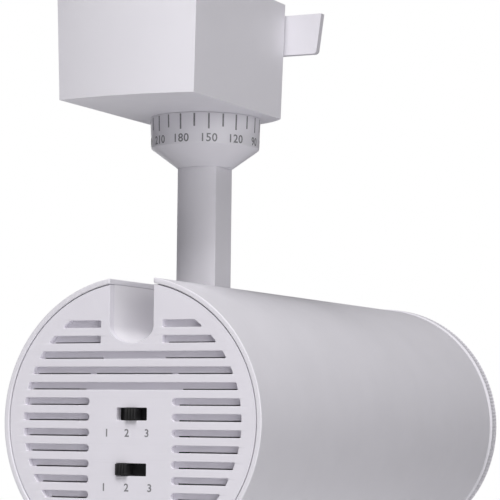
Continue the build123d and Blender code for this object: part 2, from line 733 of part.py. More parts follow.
with BuildPart() as driver_chips:
    for x, y, length, width, height in ((44, -12, 7, 5, 2), (74, 15, 6, 6, 1.6), (46, 14, 5, 4, 1.6)):
        with BuildSketch(level(BOARD_TOP)):
            with Locations((x, y)):
                Rectangle(length, width)
        extrude(amount=height)
driver_chips.part.label = "driver_chips"
export_step(driver_chips.part, "parts/driver_chips.step")

with BuildPart() as switch_board:
    with BuildSketch(across(SWITCH_BACK)):
        with Locations((SWITCH_Y, (POWER_Z + COLOUR_Z) / 2)):
            RectangleRounded(26, 29, 1)
    extrude(amount=1.6)
switch_board.part.label = "switch_board"
export_step(switch_board.part, "parts/switch_board.step")


SWITCHES = (("power_switch", POWER_Z), ("colour_switch", COLOUR_Z))

for switch_name, switch_z in SWITCHES:
    # Metal can with a slot in its front face for the slider's foot.
    with BuildPart() as switch_can:
        with BuildSketch(across(SWITCH_FRONT)):
            with Locations((SWITCH_Y, switch_z)):
                RectangleRounded(14, 6, 0.5)
        extrude(amount=SWITCH_BACK - SWITCH_FRONT)
        with BuildSketch(across(SWITCH_FRONT)):
            with Locations((SWITCH_Y, switch_z)):
                Rectangle(2 * SWITCH_STEP + 3, 2.6)
        extrude(amount=2.8, mode=Mode.SUBTRACT)
    switch_can.part.label = switch_name
    export_step(switch_can.part, f"parts/{switch_name}.step")

# Sliders: grip in the window, dust plate behind it, foot in the can. The power knob rests in the
# middle of its three settings and the colour knob in the left one.
KNOBS = (("power_knob", POWER_Z, 0), ("colour_knob", COLOUR_Z, SWITCH_STEP))

for knob_name, knob_z, knob_shift in KNOBS:
    with BuildPart() as knob:
        with BuildSketch(across(CAP_FACE - KNOB_PROUD)):
            with Locations((SWITCH_Y + knob_shift, knob_z)):
                Rectangle(KNOB_WIDTH, KNOB_HEIGHT)
        extrude(amount=DUST_PLATE_FRONT - CAP_FACE + KNOB_PROUD)
        chamfer(knob.faces().sort_by(Axis.X)[0].edges(), 0.3)
        with BuildSketch(across(DUST_PLATE_FRONT)):
            with Locations((SWITCH_Y + knob_shift, knob_z)):
                Rectangle(WINDOW_WIDTH + 2 * SWITCH_STEP + 1, 5)
        extrude(amount=0.8)
        with BuildSketch(across(DUST_PLATE_FRONT + 0.8)):
            with Locations((SWITCH_Y + knob_shift, knob_z)):
                Rectangle(2.4, 2.2)
        extrude(amount=SWITCH_FRONT + 2.4 - DUST_PLATE_FRONT - 0.8)
    knob.part.label = knob_name
    export_step(knob.part, f"parts/{knob_name}.step")

# ---------------------------------------------------------------- light source

with BuildPart() as led_board:
    with BuildSketch(across(PLATE_END)):
        RectangleRounded(30, 30, 2)
    extrude(amount=LED_BOARD_END - PLATE_END)
led_board.part.label = "led_board"
export_step(led_board.part, "parts/led_board.step")

with BuildPart() as led_chip:
    with BuildSketch(across(LED_BOARD_END)):
        Circle(9.5)
    extrude(amount=0.5)
led_chip.part.label = "led_chip"
export_step(led_chip.part, "parts/led_chip.step")

with BuildPart() as led_holder:
    with BuildSketch(across(PLATE_END)):
        Circle(25)
        RectangleRounded(30.4, 30.4, 2.2, mode=Mode.SUBTRACT)
    extrude(amount=LED_BOARD_END - PLATE_END)
    with BuildSketch(across(LED_BOARD_END)):
        Circle(25)
        Circle(10.2, mode=Mode.SUBTRACT)
    extrude(amount=HOLDER_END - LED_BOARD_END)
    with BuildSketch(across(HOLDER_END)):
        with Locations((-HOLDER_SCREW_Y, 0), (HOLDER_SCREW_Y, 0)):
            Circle(1.7)
    extrude(amount=PLATE_END - HOLDER_END, mode=Mode.SUBTRACT)
led_holder.part.label = "led_holder"
export_step(led_holder.part, "parts/led_holder.step")

with BuildPart() as holder_screws:
    with BuildSketch(across(HOLDER_END)):
        with Locations((-HOLDER_SCREW_Y, 0), (HOLDER_SCREW_Y, 0)):
            Circle(2.7)
    extrude(amount=1.6)
    with BuildSketch(across(HOLDER_END)):
        with Locations((-HOLDER_SCREW_Y, 0), (HOLDER_SCREW_Y, 0)):
            Circle(1.5)
    extrude(amount=PLATE_END - HOLDER_END - 6)
    with BuildSketch(across(HOLDER_END + 1.6)):
        with Locations((-HOLDER_SCREW_Y, 0), (HOLDER_SCREW_Y, 0)):
            Rectangle(3.2, 0.7)
            Rectangle(0.7, 3.2)
    extrude(amount=-1, mode=Mode.SUBTRACT)
holder_screws.part.label = "holder_screws"
export_step(holder_screws.part, "parts/holder_screws.step")

TUBE_AXIS = Axis((0, 0, TUBE_Z), (1, 0, 0))
ALONG = Plane(origin=(REAR_X, 0, TUBE_Z), x_dir=(1, 0, 0), z_dir=(0, -1, 0))

with BuildPart() as reflector:
    with BuildSketch(ALONG):
        with BuildLine():
            ThreePointArc((REFLECTOR_START, 10.6), (REFLECTOR_START + 6.3, 25.6), (REFLECTOR_END, 34.4))
            Line((REFLECTOR_END, 34.4), (REFLECTOR_END, 36.4))
            Line((REFLECTOR_END, 36.4), (REFLECTOR_END - 0.8, 36.4))
            Line((REFLECTOR_END - 0.8, 36.4), (REFLECTOR_END - 0.8, 35.0))
            ThreePointArc((REFLECTOR_END - 0.8, 35.0), (REFLECTOR_START + 5.6, 26.1), (REFLECTOR_START, 11.6))
            Line((REFLECTOR_START, 11.6), (REFLECTOR_START, 10.6))
        make_face()
    revolve(axis=TUBE_AXIS)
reflector.part.label = "reflector"
export_step(reflector.part, "parts/reflector.step")

# ---------------------------------------------------------------- front bezel, turns about X

with BuildPart() as front_bezel:
    with BuildSketch(across(BEZEL_START)):
        Circle(BEZEL_R)
    extrude(amount=BEZEL_END - BEZEL_START)
    chamfer(front_bezel.faces().sort_by(Axis.X)[0].edges(), 1.1)
    chamfer(front_bezel.faces().sort_by(Axis.X)[-1].edges(), 0.8)
    with BuildSketch(across(BEZEL_NECK_START)):
        Circle(BEZEL_NECK_R)
    extrude(amount=BEZEL_START - BEZEL_NECK_START)
    with BuildSketch(across(BEZEL_NECK_START)):
        Circle(BEZEL_BORE_R)
    extrude(amount=BEZEL_LIP - BEZEL_NECK_START, mode=Mode.SUBTRACT)
    with BuildSketch(across(BEZEL_LIP)):
        Circle(BEZEL_MOUTH_R)
    extrude(amount=BEZEL_END - BEZEL_LIP, mode=Mode.SUBTRACT)
    mouth_edge = front_bezel.faces().sort_by(Axis.X)[-1].edges().sort_by(SortBy.RADIUS)[0]
    chamfer(mouth_edge, 0.8)
front_bezel.part.label = "front_bezel"
export_step(front_bezel.part, "parts/front_bezel.step")

with BuildPart() as front_gasket:
    with BuildSketch(across(BEZEL_LIP)):
        Circle(36.7)
        Circle(34.4, mode=Mode.SUBTRACT)
    extrude(amount=-0.9)
front_gasket.part.label = "front_gasket"
export_step(front_gasket.part, "parts/front_gasket.step")

with BuildPart() as front_lens:
    with BuildSketch(across(BEZEL_LIP - 0.9)):
        Circle(36.7)
    extrude(amount=-3)
    chamfer(front_lens.edges(), 0.3)
front_lens.part.label = "front_lens"
export_step(front_lens.part, "parts/front_lens.step")

with BuildPart() as lens_ring:
    with BuildSketch(across(BEZEL_LIP - 3.9)):
        Circle(36.88)
        Circle(34.8, mode=Mode.SUBTRACT)
    extrude(amount=-1.2)
lens_ring.part.label = "lens_ring"
export_step(lens_ring.part, "parts/lens_ring.step")
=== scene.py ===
import json
import math

import bmesh
import bpy
from mathutils import Matrix, Vector


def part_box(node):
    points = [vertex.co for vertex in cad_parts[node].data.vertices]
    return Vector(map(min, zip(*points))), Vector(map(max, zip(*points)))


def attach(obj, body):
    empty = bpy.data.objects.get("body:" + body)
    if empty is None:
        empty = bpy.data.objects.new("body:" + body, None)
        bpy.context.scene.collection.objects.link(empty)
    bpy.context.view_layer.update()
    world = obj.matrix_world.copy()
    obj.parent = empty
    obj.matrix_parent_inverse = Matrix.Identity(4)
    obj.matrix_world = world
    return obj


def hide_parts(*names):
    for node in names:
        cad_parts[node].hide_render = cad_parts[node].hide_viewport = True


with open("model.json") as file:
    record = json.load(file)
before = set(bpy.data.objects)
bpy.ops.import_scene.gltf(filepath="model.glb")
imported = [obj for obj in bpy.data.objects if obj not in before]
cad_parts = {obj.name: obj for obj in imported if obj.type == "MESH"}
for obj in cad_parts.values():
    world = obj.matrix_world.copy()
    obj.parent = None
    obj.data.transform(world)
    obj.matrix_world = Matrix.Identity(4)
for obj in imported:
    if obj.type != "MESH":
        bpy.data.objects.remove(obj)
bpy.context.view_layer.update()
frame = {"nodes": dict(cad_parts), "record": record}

# Lengths are millimetres, and become metres when a mesh is made. The studio and the camera are
# in metres throughout.
MM = 0.001
CIRCLE_STEPS = 192
# Edges that turn by more degrees than this are sharp.
SHARP_ANGLE = 38
NORMAL_WEIGHT = 80


# ---------------------------------------------------------------- sizes, from the frame


def box_mm(node):
    """The low and high corners of a CAD node's box."""
    low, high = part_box(node)
    return low / MM, high / MM


tube_low, tube_high = box_mm("head_tube")
cap_low, cap_high = box_mm("rear_cap")
bezel_low, bezel_high = box_mm("front_bezel")
collar_low, collar_high = box_mm("scale_collar")

TUBE_R = (tube_high.y - tube_low.y) / 2
TUBE_WALL = 1.5
AXIS_Z = (bezel_low.z + bezel_high.z) / 2
REAR_X = tube_low.x
FRONT_X = tube_high.x
SLOT_HALF = 6.85
SLOT_END_X = 7.2

# Rear cap, across the tube from its axis. Louvre rows are counted up from the row at the axis.
# Their pockets end on the circle FIELD_R, and the vent slits in them on SLIT_R. A land is half
# the plain width between the two pockets or slits of a row.
CAP_R = 38.25
NOTCH_FLOOR = 21.5
NOTCH_ROUND = 4.8
CORNER_R = 0.3
ROW_PITCH = 4.28
ROW_OFFSET = 1.1
ROW_HEIGHT = 2.05
ROW_DEPTH = 2.1
FIELD_R = 33.9
SLIT_R = 33.3
SLIT_HEIGHT = 0.35
NOTCH_ROWS = (5, 6)
FULL_ROWS = (2, 3, 4)
SPLIT_ROWS = tuple(range(-7, 2))
NOTCH_LAND = 9.6
SWITCH_LAND = 12.8
# The lands of the vent slits, by row, and the row that has three slits
SLIT_LANDS = {row: SWITCH_LAND + 1.2 for row in SPLIT_ROWS}
SLIT_LANDS |= {5: NOTCH_LAND + 1, 4: NOTCH_LAND, 2: 15}
THREE_SLIT_ROW = 3
SLIT_RIB_HALF = 0.9
SWITCH_Y = -0.5
SWITCH_HEIGHTS = {"power": 2.0, "colour": -13.2}
WINDOW = (9.4, 3.5)

# Scale collar: the tapered band that carries the scale, then the cone down to the stem
BAND_HEIGHT = 8.9
BAND_END_R = 15.9
CONE_END_R = 8.2
COLLAR_BORE = 5.02

# Printed marks
INK_HEIGHT = 0.03
INK_ROOT = 0.05
STROKE_WEIGHT = 0.04


# ---------------------------------------------------------------- mesh helpers


def mesh_piece(name, verts, faces, body, slot, replaces=(), sharp=SHARP_ANGLE):
    """A new object from points in millimetres, riding on a body."""
    mesh = bpy.data.meshes.new(name)
    mesh.from_pydata([Vector(v) * MM for v in verts], [], faces)
    return finish_piece(name, mesh, body, slot, replaces, sharp)


def finish_piece(name, mesh, body, slot, replaces=(), sharp=SHARP_ANGLE, material=None):
    """Normals, shading, body and material of a mesh in metres. The slot names the material."""
    bm = bmesh.new()
    bm.from_mesh(mesh)
    bmesh.ops.remove_doubles(bm, verts=bm.verts, dist=1e-7)
    bmesh.ops.recalc_face_normals(bm, faces=bm.faces)
    bm.to_mesh(mesh)
    bm.free()
    mesh.name = name
    mesh.shade_smooth()
    mesh.set_sharp_from_angle(angle=math.radians(sharp))
    mesh.materials.clear()
    mesh.materials.append(material or FINISHES[slot])
    piece = bpy.data.objects.new(name, mesh)
    bpy.context.scene.collection.objects.link(piece)
    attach(piece, body)
    if replaces:
        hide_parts(*replaces)
    return piece


def evaluated_mesh(obj):
    """The object's mesh with its modifiers applied. The object itself is removed."""
    graph = bpy.context.evaluated_depsgraph_get()
    mesh = bpy.data.meshes.new_from_object(obj.evaluated_get(graph))
    bpy.data.objects.remove(obj)
    return mesh


def closed_mesh(verts, faces):
    """A mesh from points in millimetres, its faces all turned outwards."""
    mesh = bpy.data.meshes.new("solid")
    mesh.from_pydata([Vector(v) * MM for v in verts], [], faces)
    bm = bmesh.new()
    bm.from_mesh(mesh)
    bmesh.ops.recalc_face_normals(bm, faces=bm.faces)
    bm.to_mesh(mesh)
    bm.free()
    return mesh


def round_edges(obj, width, segments, angle):
    """A modifier that rounds the edges sharper than an angle in degrees."""
    modifier = obj.modifiers.new("round", "BEVEL")
    modifier.width = width * MM
    modifier.segments = segments
    modifier.limit_method = "ANGLE"
    modifier.angle_limit = math.radians(angle)
    modifier.harden_normals = False
    modifier.use_clamp_overlap = True


def bevelled(mesh, width, segments, angle):
    """The mesh with its sharp edges rounded."""
    scratch = bpy.data.objects.new("scratch", mesh)
    bpy.context.scene.collection.objects.link(scratch)
    round_edges(scratch, width, segments, angle)
    return evaluated_mesh(scratch)


def weighted(piece):
    """Keeps flat faces flat next to rounded edges."""
    modifier = piece.modifiers.new("normals", "WEIGHTED_NORMAL")
    modifier.keep_sharp = True
    modifier.weight = NORMAL_WEIGHT
    return piece


def arc(centre, radius, start, end, steps):
    """Points on an arc in the plane, from start to end in degrees."""
    points = []
    for i in range(steps + 1):
        a = math.radians(start + (end - start) * i / steps)
        points.append((centre[0] + radius * math.cos(a), centre[1] + radius * math.sin(a)))
    return points


def rounded(points, radius, steps, closed=True):
    """The outline with its corners rounded. radius is one number, or one for each corner."""
    count = len(points)
    radii = radius if isinstance(radius, (list, tuple)) else [radius] * count
    result = []
    for i, corner in enumerate(points):
        ends = not closed and i in (0, count - 1)
        if radii[i] <= 0 or ends:
            result.append(tuple(corner))
            continue
        here = Vector(corner)
        before = (Vector(points[i - 1]) - here).normalized()
        after = (Vector(points[(i + 1) % count]) - here).normalized()
        half = before.angle(after) / 2
        reach = radii[i] / math.tan(half)
        centre = here + (before + after).normalized() * (radii[i] / math.sin(half))
        start = here + before * reach - centre
        turn = math.pi - 2 * half
        side = 1 if before.x * after.y - before.y * after.x < 0 else -1
        for k in range(steps + 1):
            a = side * turn * k / steps
            cos, sin = math.cos(a), math.sin(a)
            spoke = Vector((start.x * cos - start.y * sin, start.x * sin + start.y * cos))
            result.append(tuple(centre + spoke))
    return result


def ring_faces(count, segments):
    """Quads between neighbouring columns of count points that close both ways."""
    faces = []
    for s in range(segments):
        here, there = s * count, ((s + 1) % segments) * count
        for i in range(count):
            j = (i + 1) % count
            faces.append((here + i, here + j, there + j, there + i))
    return faces


def lathe(profile, place, segments):
    """Turns a closed profile of (along, radius). place(along, radius, angle) gives the point."""
    verts = []
    for s in range(segments):
        angle = 2 * math.pi * s / segments
        verts += [place(along, radius, angle) for along, radius in profile]
    return verts, ring_faces(len(profile), segments)


def about_tube(along, radius, angle):
    """A point of a piece turned about the tube's axis. along is measured from the rear rim."""
    return (REAR_X + along, radius * math.cos(angle), AXIS_Z + radius * math.sin(angle))


def about_swivel(height, radius, angle):
    """A point of a piece turned about the swivel axis."""
    return (radius * math.cos(angle), radius * math.sin(angle), height)


def prism(outline, low, high, place):
    """A closed solid between two copies of an outline. place(u, v, level) gives the point."""
    count = len(outline)
    verts = [place(u, v, low) for u, v in outline] + [place(u, v, high) for u, v in outline]
    faces = [tuple(range(count)), tuple(range(2 * count - 1, count - 1, -1))]
    for i in range(count):
        j = (i + 1) % count
        faces.append((i, j, count + j, count + i))
    return verts, faces


def across_tube(u, v, along):
    """A point in a plane across the tube: u is Y, v is Z from the axis."""
    return (REAR_X + along, u, AXIS_Z + v)


def plate_mesh(outline, holes, low, high, edge, place):
    """A flat plate with holes, its edges softened all round, as one closed mesh."""
    curve = bpy.data.curves.new("plate", "CURVE")
    curve.dimensions = "2D"
    curve.fill_mode = "BOTH"
    curve.extrude = (high - low) / 2 * MM - edge * MM
    curve.bevel_depth = edge * MM
    curve.bevel_resolution = 1
    curve.offset = -edge * MM
    for ring, outer in [(outline, True)] + [(hole, False) for hole in holes]:
        area = sum(a[0] * b[1] - b[0] * a[1] for a, b in zip(ring, ring[1:] + ring[:1]))
        points = ring if (area > 0) == outer else ring[::-1]
        spline = curve.splines.new("POLY")
        spline.points.add(len(points) - 1)
        for point, (u, v) in zip(spline.points, points):
            point.co = (u * MM, v * MM, 0, 1)
        spline.use_cyclic_u = True
    obj = bpy.data.objects.new("plate", curve)
    bpy.context.scene.collection.objects.link(obj)
    bpy.context.view_layer.update()
    mesh = evaluated_mesh(obj)
    middle = (low + high) / 2
    for vertex in mesh.vertices:
        u, v, w = vertex.co / MM
        vertex.co = Vector(place(u, v, middle + w)) * MM
    return mesh


def joined(*meshes):
    """Several meshes as one."""
    bm = bmesh.new()
    for mesh in meshes:
        bm.from_mesh(mesh)
    result = bpy.data.meshes.new("joined")
    bm.to_mesh(result)
    bm.free()
    return result


def text_mesh(words, size, place, spacing=1.0):
    """Lettering centred on the origin of a plane. place(u, v, w) gives each point."""
    curve = bpy.data.curves.new("text", "FONT")
    curve.body = words
    curve.size = size * MM
    curve.extrude = INK_HEIGHT * MM
    curve.offset = STROKE_WEIGHT * MM
    curve.align_x = "CENTER"
    curve.align_y = "CENTER"
    curve.space_character = spacing
    curve.resolution_u = 3
    obj = bpy.data.objects.new("text", curve)
    bpy.context.scene.collection.objects.link(obj)
    bpy.context.view_layer.update()
    mesh = evaluated_mesh(obj)
    for vertex in mesh.vertices:
        u, v, w = vertex.co / MM
        vertex.co = Vector(place(u, v, w)) * MM
    return mesh


# ---------------------------------------------------------------- materials


class Shader:
    """A node material: base colour with fine variation, varied roughness, and grain as bump."""

    def __init__(self, name, colour, roughness, metallic=0.0):
        self.material = bpy.data.materials.new(name)
        self.material.use_nodes = True
        self.tree = self.material.node_tree
        self.nodes = self.tree.nodes
        self.links = self.tree.links
        self.bsdf = self.nodes["Principled BSDF"]
        self.colour = colour
        self.roughness = roughness
        self.bsdf.inputs["Base Color"].default_value = (*colour, 1)
        self.bsdf.inputs["Roughness"].default_value = roughness
        self.bsdf.inputs["Metallic"].default_value = metallic
        self.coords = self.nodes.new("ShaderNodeTexCoord")
        self.height = None

    def noise(self, size, detail=2, stretch=None):
        """Noise whose features are about size millimetres across. stretch scales its axes."""
        texture = self.nodes.new("ShaderNodeTexNoise")
        texture.inputs["Scale"].default_value = 1 / (size * MM)
        texture.inputs["Detail"].default_value = detail
        source = self.coords.outputs["Object"]
        if stretch:
            mapping = self.nodes.new("ShaderNodeMapping")
            mapping.inputs["Scale"].default_value = stretch
            self.links.new(source, mapping.inputs["Vector"])
            source = mapping.outputs["Vector"]
        self.links.new(source, texture.inputs["Vector"])
        return texture.outputs["Fac"]

    def vary_colour(self, size, amount):
        """Lightens and darkens the base colour by amount, in patches of size."""
        ramp = self.nodes.new("ShaderNodeValToRGB")
        ramp.color_ramp.elements[0].position = 0.3
        ramp.color_ramp.elements[1].position = 0.7
        ramp.color_ramp.elements[0].color = (*[c * (1 - amount) for c in self.colour], 1)
        ramp.color_ramp.elements[1].color = (*[min(1, c * (1 + amount)) for c in self.colour], 1)
        self.links.new(self.noise(size, 3), ramp.inputs["Fac"])
        self.links.new(ramp.outputs["Color"], self.bsdf.inputs["Base Color"])
        return self

    def vary_roughness(self, size, amount, stretch=None):
        """Raises and lowers the roughness by amount, in patches of size."""
        spread = self.nodes.new("ShaderNodeMapRange")
        spread.inputs["From Min"].default_value = 0.3
        spread.inputs["From Max"].default_value = 0.7
        spread.inputs["To Min"].default_value = self.roughness - amount
        spread.inputs["To Max"].default_value = self.roughness + amount
        self.links.new(self.noise(size, stretch=stretch), spread.inputs["Value"])
        self.links.new(spread.outputs["Result"], self.bsdf.inputs["Roughness"])
        return self

    def grain(self, size, depth, stretch=None):
        """Bump of that size and depth in millimetres. Calls add up."""
        bump = self.nodes.new("ShaderNodeBump")
        bump.inputs["Distance"].default_value = depth * MM
        bump.inputs["Strength"].default_value = 1.0
        self.links.new(self.noise(size, stretch=stretch), bump.inputs["Height"])
        if self.height:
            self.links.new(self.height, bump.inputs["Normal"])
        self.height = bump.outputs["Normal"]
        self.links.new(self.height, self.bsdf.inputs["Normal"])
        return self

    def set(self, **values):
        """Sets the shader's own sockets. An underscore stands for a space."""
        for name, value in values.items():
            self.bsdf.inputs[name.replace("_", " ")].default_value = value
        return self


WHITE = (0.80, 0.79, 0.83)


def powder_coat(name):
    """White powder coat: fine orange peel over a slower wave."""
    shader = Shader(name, WHITE, 0.46)
    shader.vary_colour(14, 0.015).vary_roughness(2.5, 0.05)
    shader.grain(0.55, 0.012).grain(3.0, 0.01)
    return shader.material


def moulded(name, colour, roughness):
    """Satin moulded plastic: fine spark-eroded grain and faint flow marks."""
    shader = Shader(name, colour, roughness)
    shader.vary_colour(22, 0.012).vary_roughness(4, 0.05)
    shader.grain(0.3, 0.006)
    return shader.material


def bare_metal(name, colour, roughness, stretch):
    """Plated or cast metal. A stretch above 1 narrows the grain along that axis."""
    shader = Shader(name, colour, roughness, 1.0)
    shader.vary_colour(6, 0.06).vary_roughness(1.5, 0.07, stretch)
    shader.grain(0.4, 0.004, stretch)
    return shader.material


def printed_ink():
    """Grey pad-printed ink, a little worn."""
    shader = Shader("printed_ink", (0.22, 0.22, 0.23), 0.55)
    shader.vary_colour(0.5, 0.25).vary_roughness(0.8, 0.1)
    return shader.material


def phosphor():
    """Yellow phosphor gel."""
    shader = Shader("phosphor", (0.88, 0.62, 0.06), 0.25)
    shader.vary_colour(1.2, 0.05).vary_roughness(2, 0.05).grain(0.25, 0.01)
    return shader.material


def reflector_metal():
    """Bright metallised coat with a trace of haze."""
    shader = Shader("reflector_metal", (0.92, 0.92, 0.93), 0.09, 1.0)
    shader.vary_colour(5, 0.01).vary_roughness(3, 0.03).grain(1.0, 0.004)
    return shader.material


def lens_glass():
    """Clear toughened glass, faintly wavy."""
    shader = Shader("lens_glass", (0.97, 0.99, 0.99), 0.03)
    shader.set(Transmission_Weight=1.0, IOR=1.48)
    shader.vary_roughness(8, 0.01).grain(12, 0.002)
    return shader.material


PAINTED = ("tube_paint", "stem_paint", "collar_paint", "bezel_paint")
MOULDED = {
    "housing_plastic": (WHITE, 0.5),
    "cover_plastic": ((0.74, 0.74, 0.77), 0.5),
    "cap_plastic": ((0.80, 0.785, 0.835), 0.5),
    "channel_plastic": ((0.84, 0.83, 0.86), 0.5),
    "rib_plastic": ((0.76, 0.76, 0.78), 0.5),
    "lever_plastic": ((0.74, 0.73, 0.77), 0.48),
    "knob_plastic": ((0.006, 0.006, 0.0065), 0.55),
    "bush_plastic": ((0.05, 0.05, 0.055), 0.5),
    "holder_plastic": ((0.84, 0.84, 0.82), 0.5),
    "terminal_plastic": ((0.66, 0.66, 0.60), 0.5),
    "case_plastic": ((0.66, 0.66, 0.64), 0.5),
    "lead_sheath": ((0.80, 0.80, 0.80), 0.45),
    "board_laminate": ((0.02, 0.13, 0.05), 0.35),
    "transformer_tape": ((0.55, 0.40, 0.05), 0.4),
    "capacitor_sleeve": ((0.03, 0.035, 0.06), 0.3),
    "chip_resin": ((0.02, 0.02, 0.022), 0.55),
    "gasket_rubber": ((0.16, 0.16, 0.17), 0.6),
    "led_substrate": ((0.85, 0.85, 0.82), 0.3),
}
BARE_METALS = {
    "screw_steel": ((0.60, 0.60, 0.62), 0.32, (1, 1, 1)),
    "switch_steel": ((0.55, 0.55, 0.56), 0.36, (1, 1, 1)),
    "bracket_steel": ((0.58, 0.58, 0.60), 0.38, (1, 8, 1)),
    "cast_aluminium": ((0.68, 0.68, 0.69), 0.50, (1, 1, 1)),
    "contact_brass": ((0.80, 0.58, 0.25), 0.25, (1, 1, 1)),
    "contact_copper": ((0.80, 0.42, 0.24), 0.28, (1, 1, 1)),
    "choke_copper": ((0.50, 0.22, 0.09), 0.35, (1, 1, 6)),
}

ink = printed_ink()
FINISHES = {slot: powder_coat(slot) for slot in PAINTED}
FINISHES |= {slot: moulded(slot, *look) for slot, look in MOULDED.items()}
FINISHES |= {slot: bare_metal(slot, *look) for slot, look in BARE_METALS.items()}
FINISHES |= {
    "spindle_plastic": FINISHES["rib_plastic"],
    "phosphor": phosphor(),
    "reflector_metal": reflector_metal(),
    "lens_glass": lens_glass(),
}

for part in frame["record"]["subparts"]:
    node = frame["nodes"][part["node"]]
    node.data.materials.clear()
    node.data.materials.append(FINISHES[part["material_slot"]])


# ---------------------------------------------------------------- CAD nodes that stay


def soften(node, width):
    """Rounds the sharp edges of a CAD node with modifiers, so that they catch the light."""
    piece = frame["nodes"][node]
    weld = piece.modifiers.new("weld", "WELD")
    weld.merge_threshold = 0.0005 * MM
    round_edges(piece, width, 2, SHARP_ANGLE)
    weighted(piece)


# Width of the rounding, by node
SOFT_EDGES = {
    "adaptor_housing": 0.4,
    "adaptor_cover": 0.25,
    "cover_screws": 0.08,
    "track_rib": 0.3,
    "terminal_block": 0.2,
    "lock_lever": 0.4,
    "lock_spindle": 0.25,
    "stem_arm": 0.45,
    "stem_channel": 0.08,
    "pivot_bracket": 0.2,
    "heat_sink": 0.25,
    "driver_case": 0.3,
    "switch_board": 0.1,
    "led_holder": 0.3,
    "front_lens": 0.1,
}

for node_name, edge_width in SOFT_EDGES.items():
    soften(node_name, edge_width)


# ---------------------------------------------------------------- head tube


def head_tube():
    """Thin painted tube with softened rims, slotted at the top for the stem."""
    stations = (REAR_X, SLOT_END_X, FRONT_X)
    around, across = 240, 12
    verts, index = [], {}
    for wall, radius in enumerate((TUBE_R, TUBE_R - TUBE_WALL)):
        edge = math.asin(SLOT_HALF / radius)
        main = [edge + (2 * math.pi - 2 * edge) * i / around for i in range(around + 1)]
        over = [edge * (2 * i / across - 1) for i in range(1, across)]
        for station, x in enumerate(stations):
            angles = main if station == 0 else main + over
            for i, angle in enumerate(angles):
                index[wall, station, i] = len(verts)
                verts.append((x, radius * math.sin(angle), AXIS_Z + radius * math.cos(angle)))
    # Columns run round the main wall, then across the slot from its last column to its first.
    slot_columns = [around] + [around + i for i in range(1, across)] + [0]
    faces = []

    def quad(*keys):
        faces.append(tuple(index[key] for key in keys))

    for wall in (0, 1):
        for rear, front in ((0, 1), (1, 2)):
            for i in range(around):
                quad((wall, rear, i), (wall, rear, i + 1), (wall, front, i + 1), (wall, front, i))
        for a, b in zip(slot_columns, slot_columns[1:]):
            quad((wall, 1, a), (wall, 1, b), (wall, 2, b), (wall, 2, a))
    for i in range(around):
        for station in (0, 2):
            quad((0, station, i), (0, station, i + 1), (1, station, i + 1), (1, station, i))
    for a, b in zip(slot_columns, slot_columns[1:]):
        for station in (1, 2):
            quad((0, station, a), (0, station, b), (1, station, b), (1, station, a))
    for column in (0, around):
        quad((0, 0, column), (0, 1, column), (1, 1, column), (1, 0, column))
    mesh = bevelled(closed_mesh(verts, faces), 0.3, 3, 50)
    weighted(finish_piece("tube_shell", mesh, "head", "tube_paint", ["head_tube"], 40))


head_tube()


# ---------------------------------------------------------------- rear cap


def notch_bottom():
    """The lower half of an ellipse, from the notch's wall on the +Y side to the other."""
    steps = 24
    points = []
    for i in range(steps + 1):
        a = -math.pi * i / steps
        height = NOTCH_FLOOR + NOTCH_ROUND + NOTCH_ROUND * math.sin(a)
        points.append((SLOT_HALF * math.cos(a), height))
    return points


def open_circle(radius, gap_ratio, clockwise=False):
    """A circle with a gap at its top. gap_ratio is half the gap's width over the radius."""
    edge = math.degrees(math.asin(gap_ratio))
    ends = (450 - edge, 90 + edge) if clockwise else (90 + edge, 450 - edge)
    return arc((0, 0), radius, *ends, CIRCLE_STEPS)


def notched_disc(radius):
    """A disc's outline with the U notch at its top."""
    return open_circle(radius, SLOT_HALF / radius) + notch_bottom()


def row_end(height, radius):
    """How far a line at that height reaches inside a circle."""
    return math.sqrt(max(radius**2 - height**2, 0))


def louvre_outlines():
    """Outlines of all the louvre pockets, as lists of (y, z) points."""
    outlines = []
    for row in (*NOTCH_ROWS, *FULL_ROWS, *SPLIT_ROWS):
        middle = ROW_OFFSET + row * ROW_PITCH
        low, high = middle - ROW_HEIGHT / 2, middle + ROW_HEIGHT / 2
        at_low, at_high = row_end(low, FIELD_R), row_end(high, FIELD_R)
        if row in FULL_ROWS:
            corners = [(-at_low, low), (at_low, low), (at_high, high), (-at_high, high)]
            outlines.append(rounded(corners, CORNER_R, 3))
            continue
        land = NOTCH_LAND if row in NOTCH_ROWS else SWITCH_LAND
        inner = CORNER_R if row in NOTCH_ROWS else ROW_HEIGHT / 2 - 0.02
        for side in (-1, 1):
            one_side = [(land, low), (at_low, low), (at_high, high), (land, high)]
            corners = [(side * y, z) for y, z in one_side]
            outlines.append(rounded(corners, [inner, CORNER_R, CORNER_R, inner], 5))
    return outlines


def slit_outlines():
    """Outlines of the vent slits along the pockets' lower edges."""
    outlines = []
    for row in (*SLIT_LANDS, THREE_SLIT_ROW):
        low = ROW_OFFSET + row * ROW_PITCH - ROW_HEIGHT / 2
        high = low + SLIT_HEIGHT
        end = row_end(low, SLIT_R) if low < 0 else row_end(high, SLIT_R)
        if row == THREE_SLIT_ROW:
            before, after = SWITCH_LAND - SLIT_RIB_HALF, SWITCH_LAND + SLIT_RIB_HALF
            spans = [(-end, -after), (-before, before), (after, end)]
        else:
            spans = [(-end, -SLIT_LANDS[row]), (SLIT_LANDS[row], end)]
        outlines += [[(a, low), (b, low), (b, high), (a, high)] for a, b in spans]
    return outlines


def rounded_box(half_u, half_v):
    """A rectangle about the origin, its corners rounded."""
    corners = [(-half_u, -half_v), (half_u, -half_v), (half_u, half_v), (-half_u, half_v)]
    return rounded(corners, CORNER_R, 3)


def window_outline(height):
    """The outline of a switch's window at that height from the axis."""
    return [(SWITCH_Y + u, height + v) for u, v in rounded_box(WINDOW[0] / 2, WINDOW[1] / 2)]


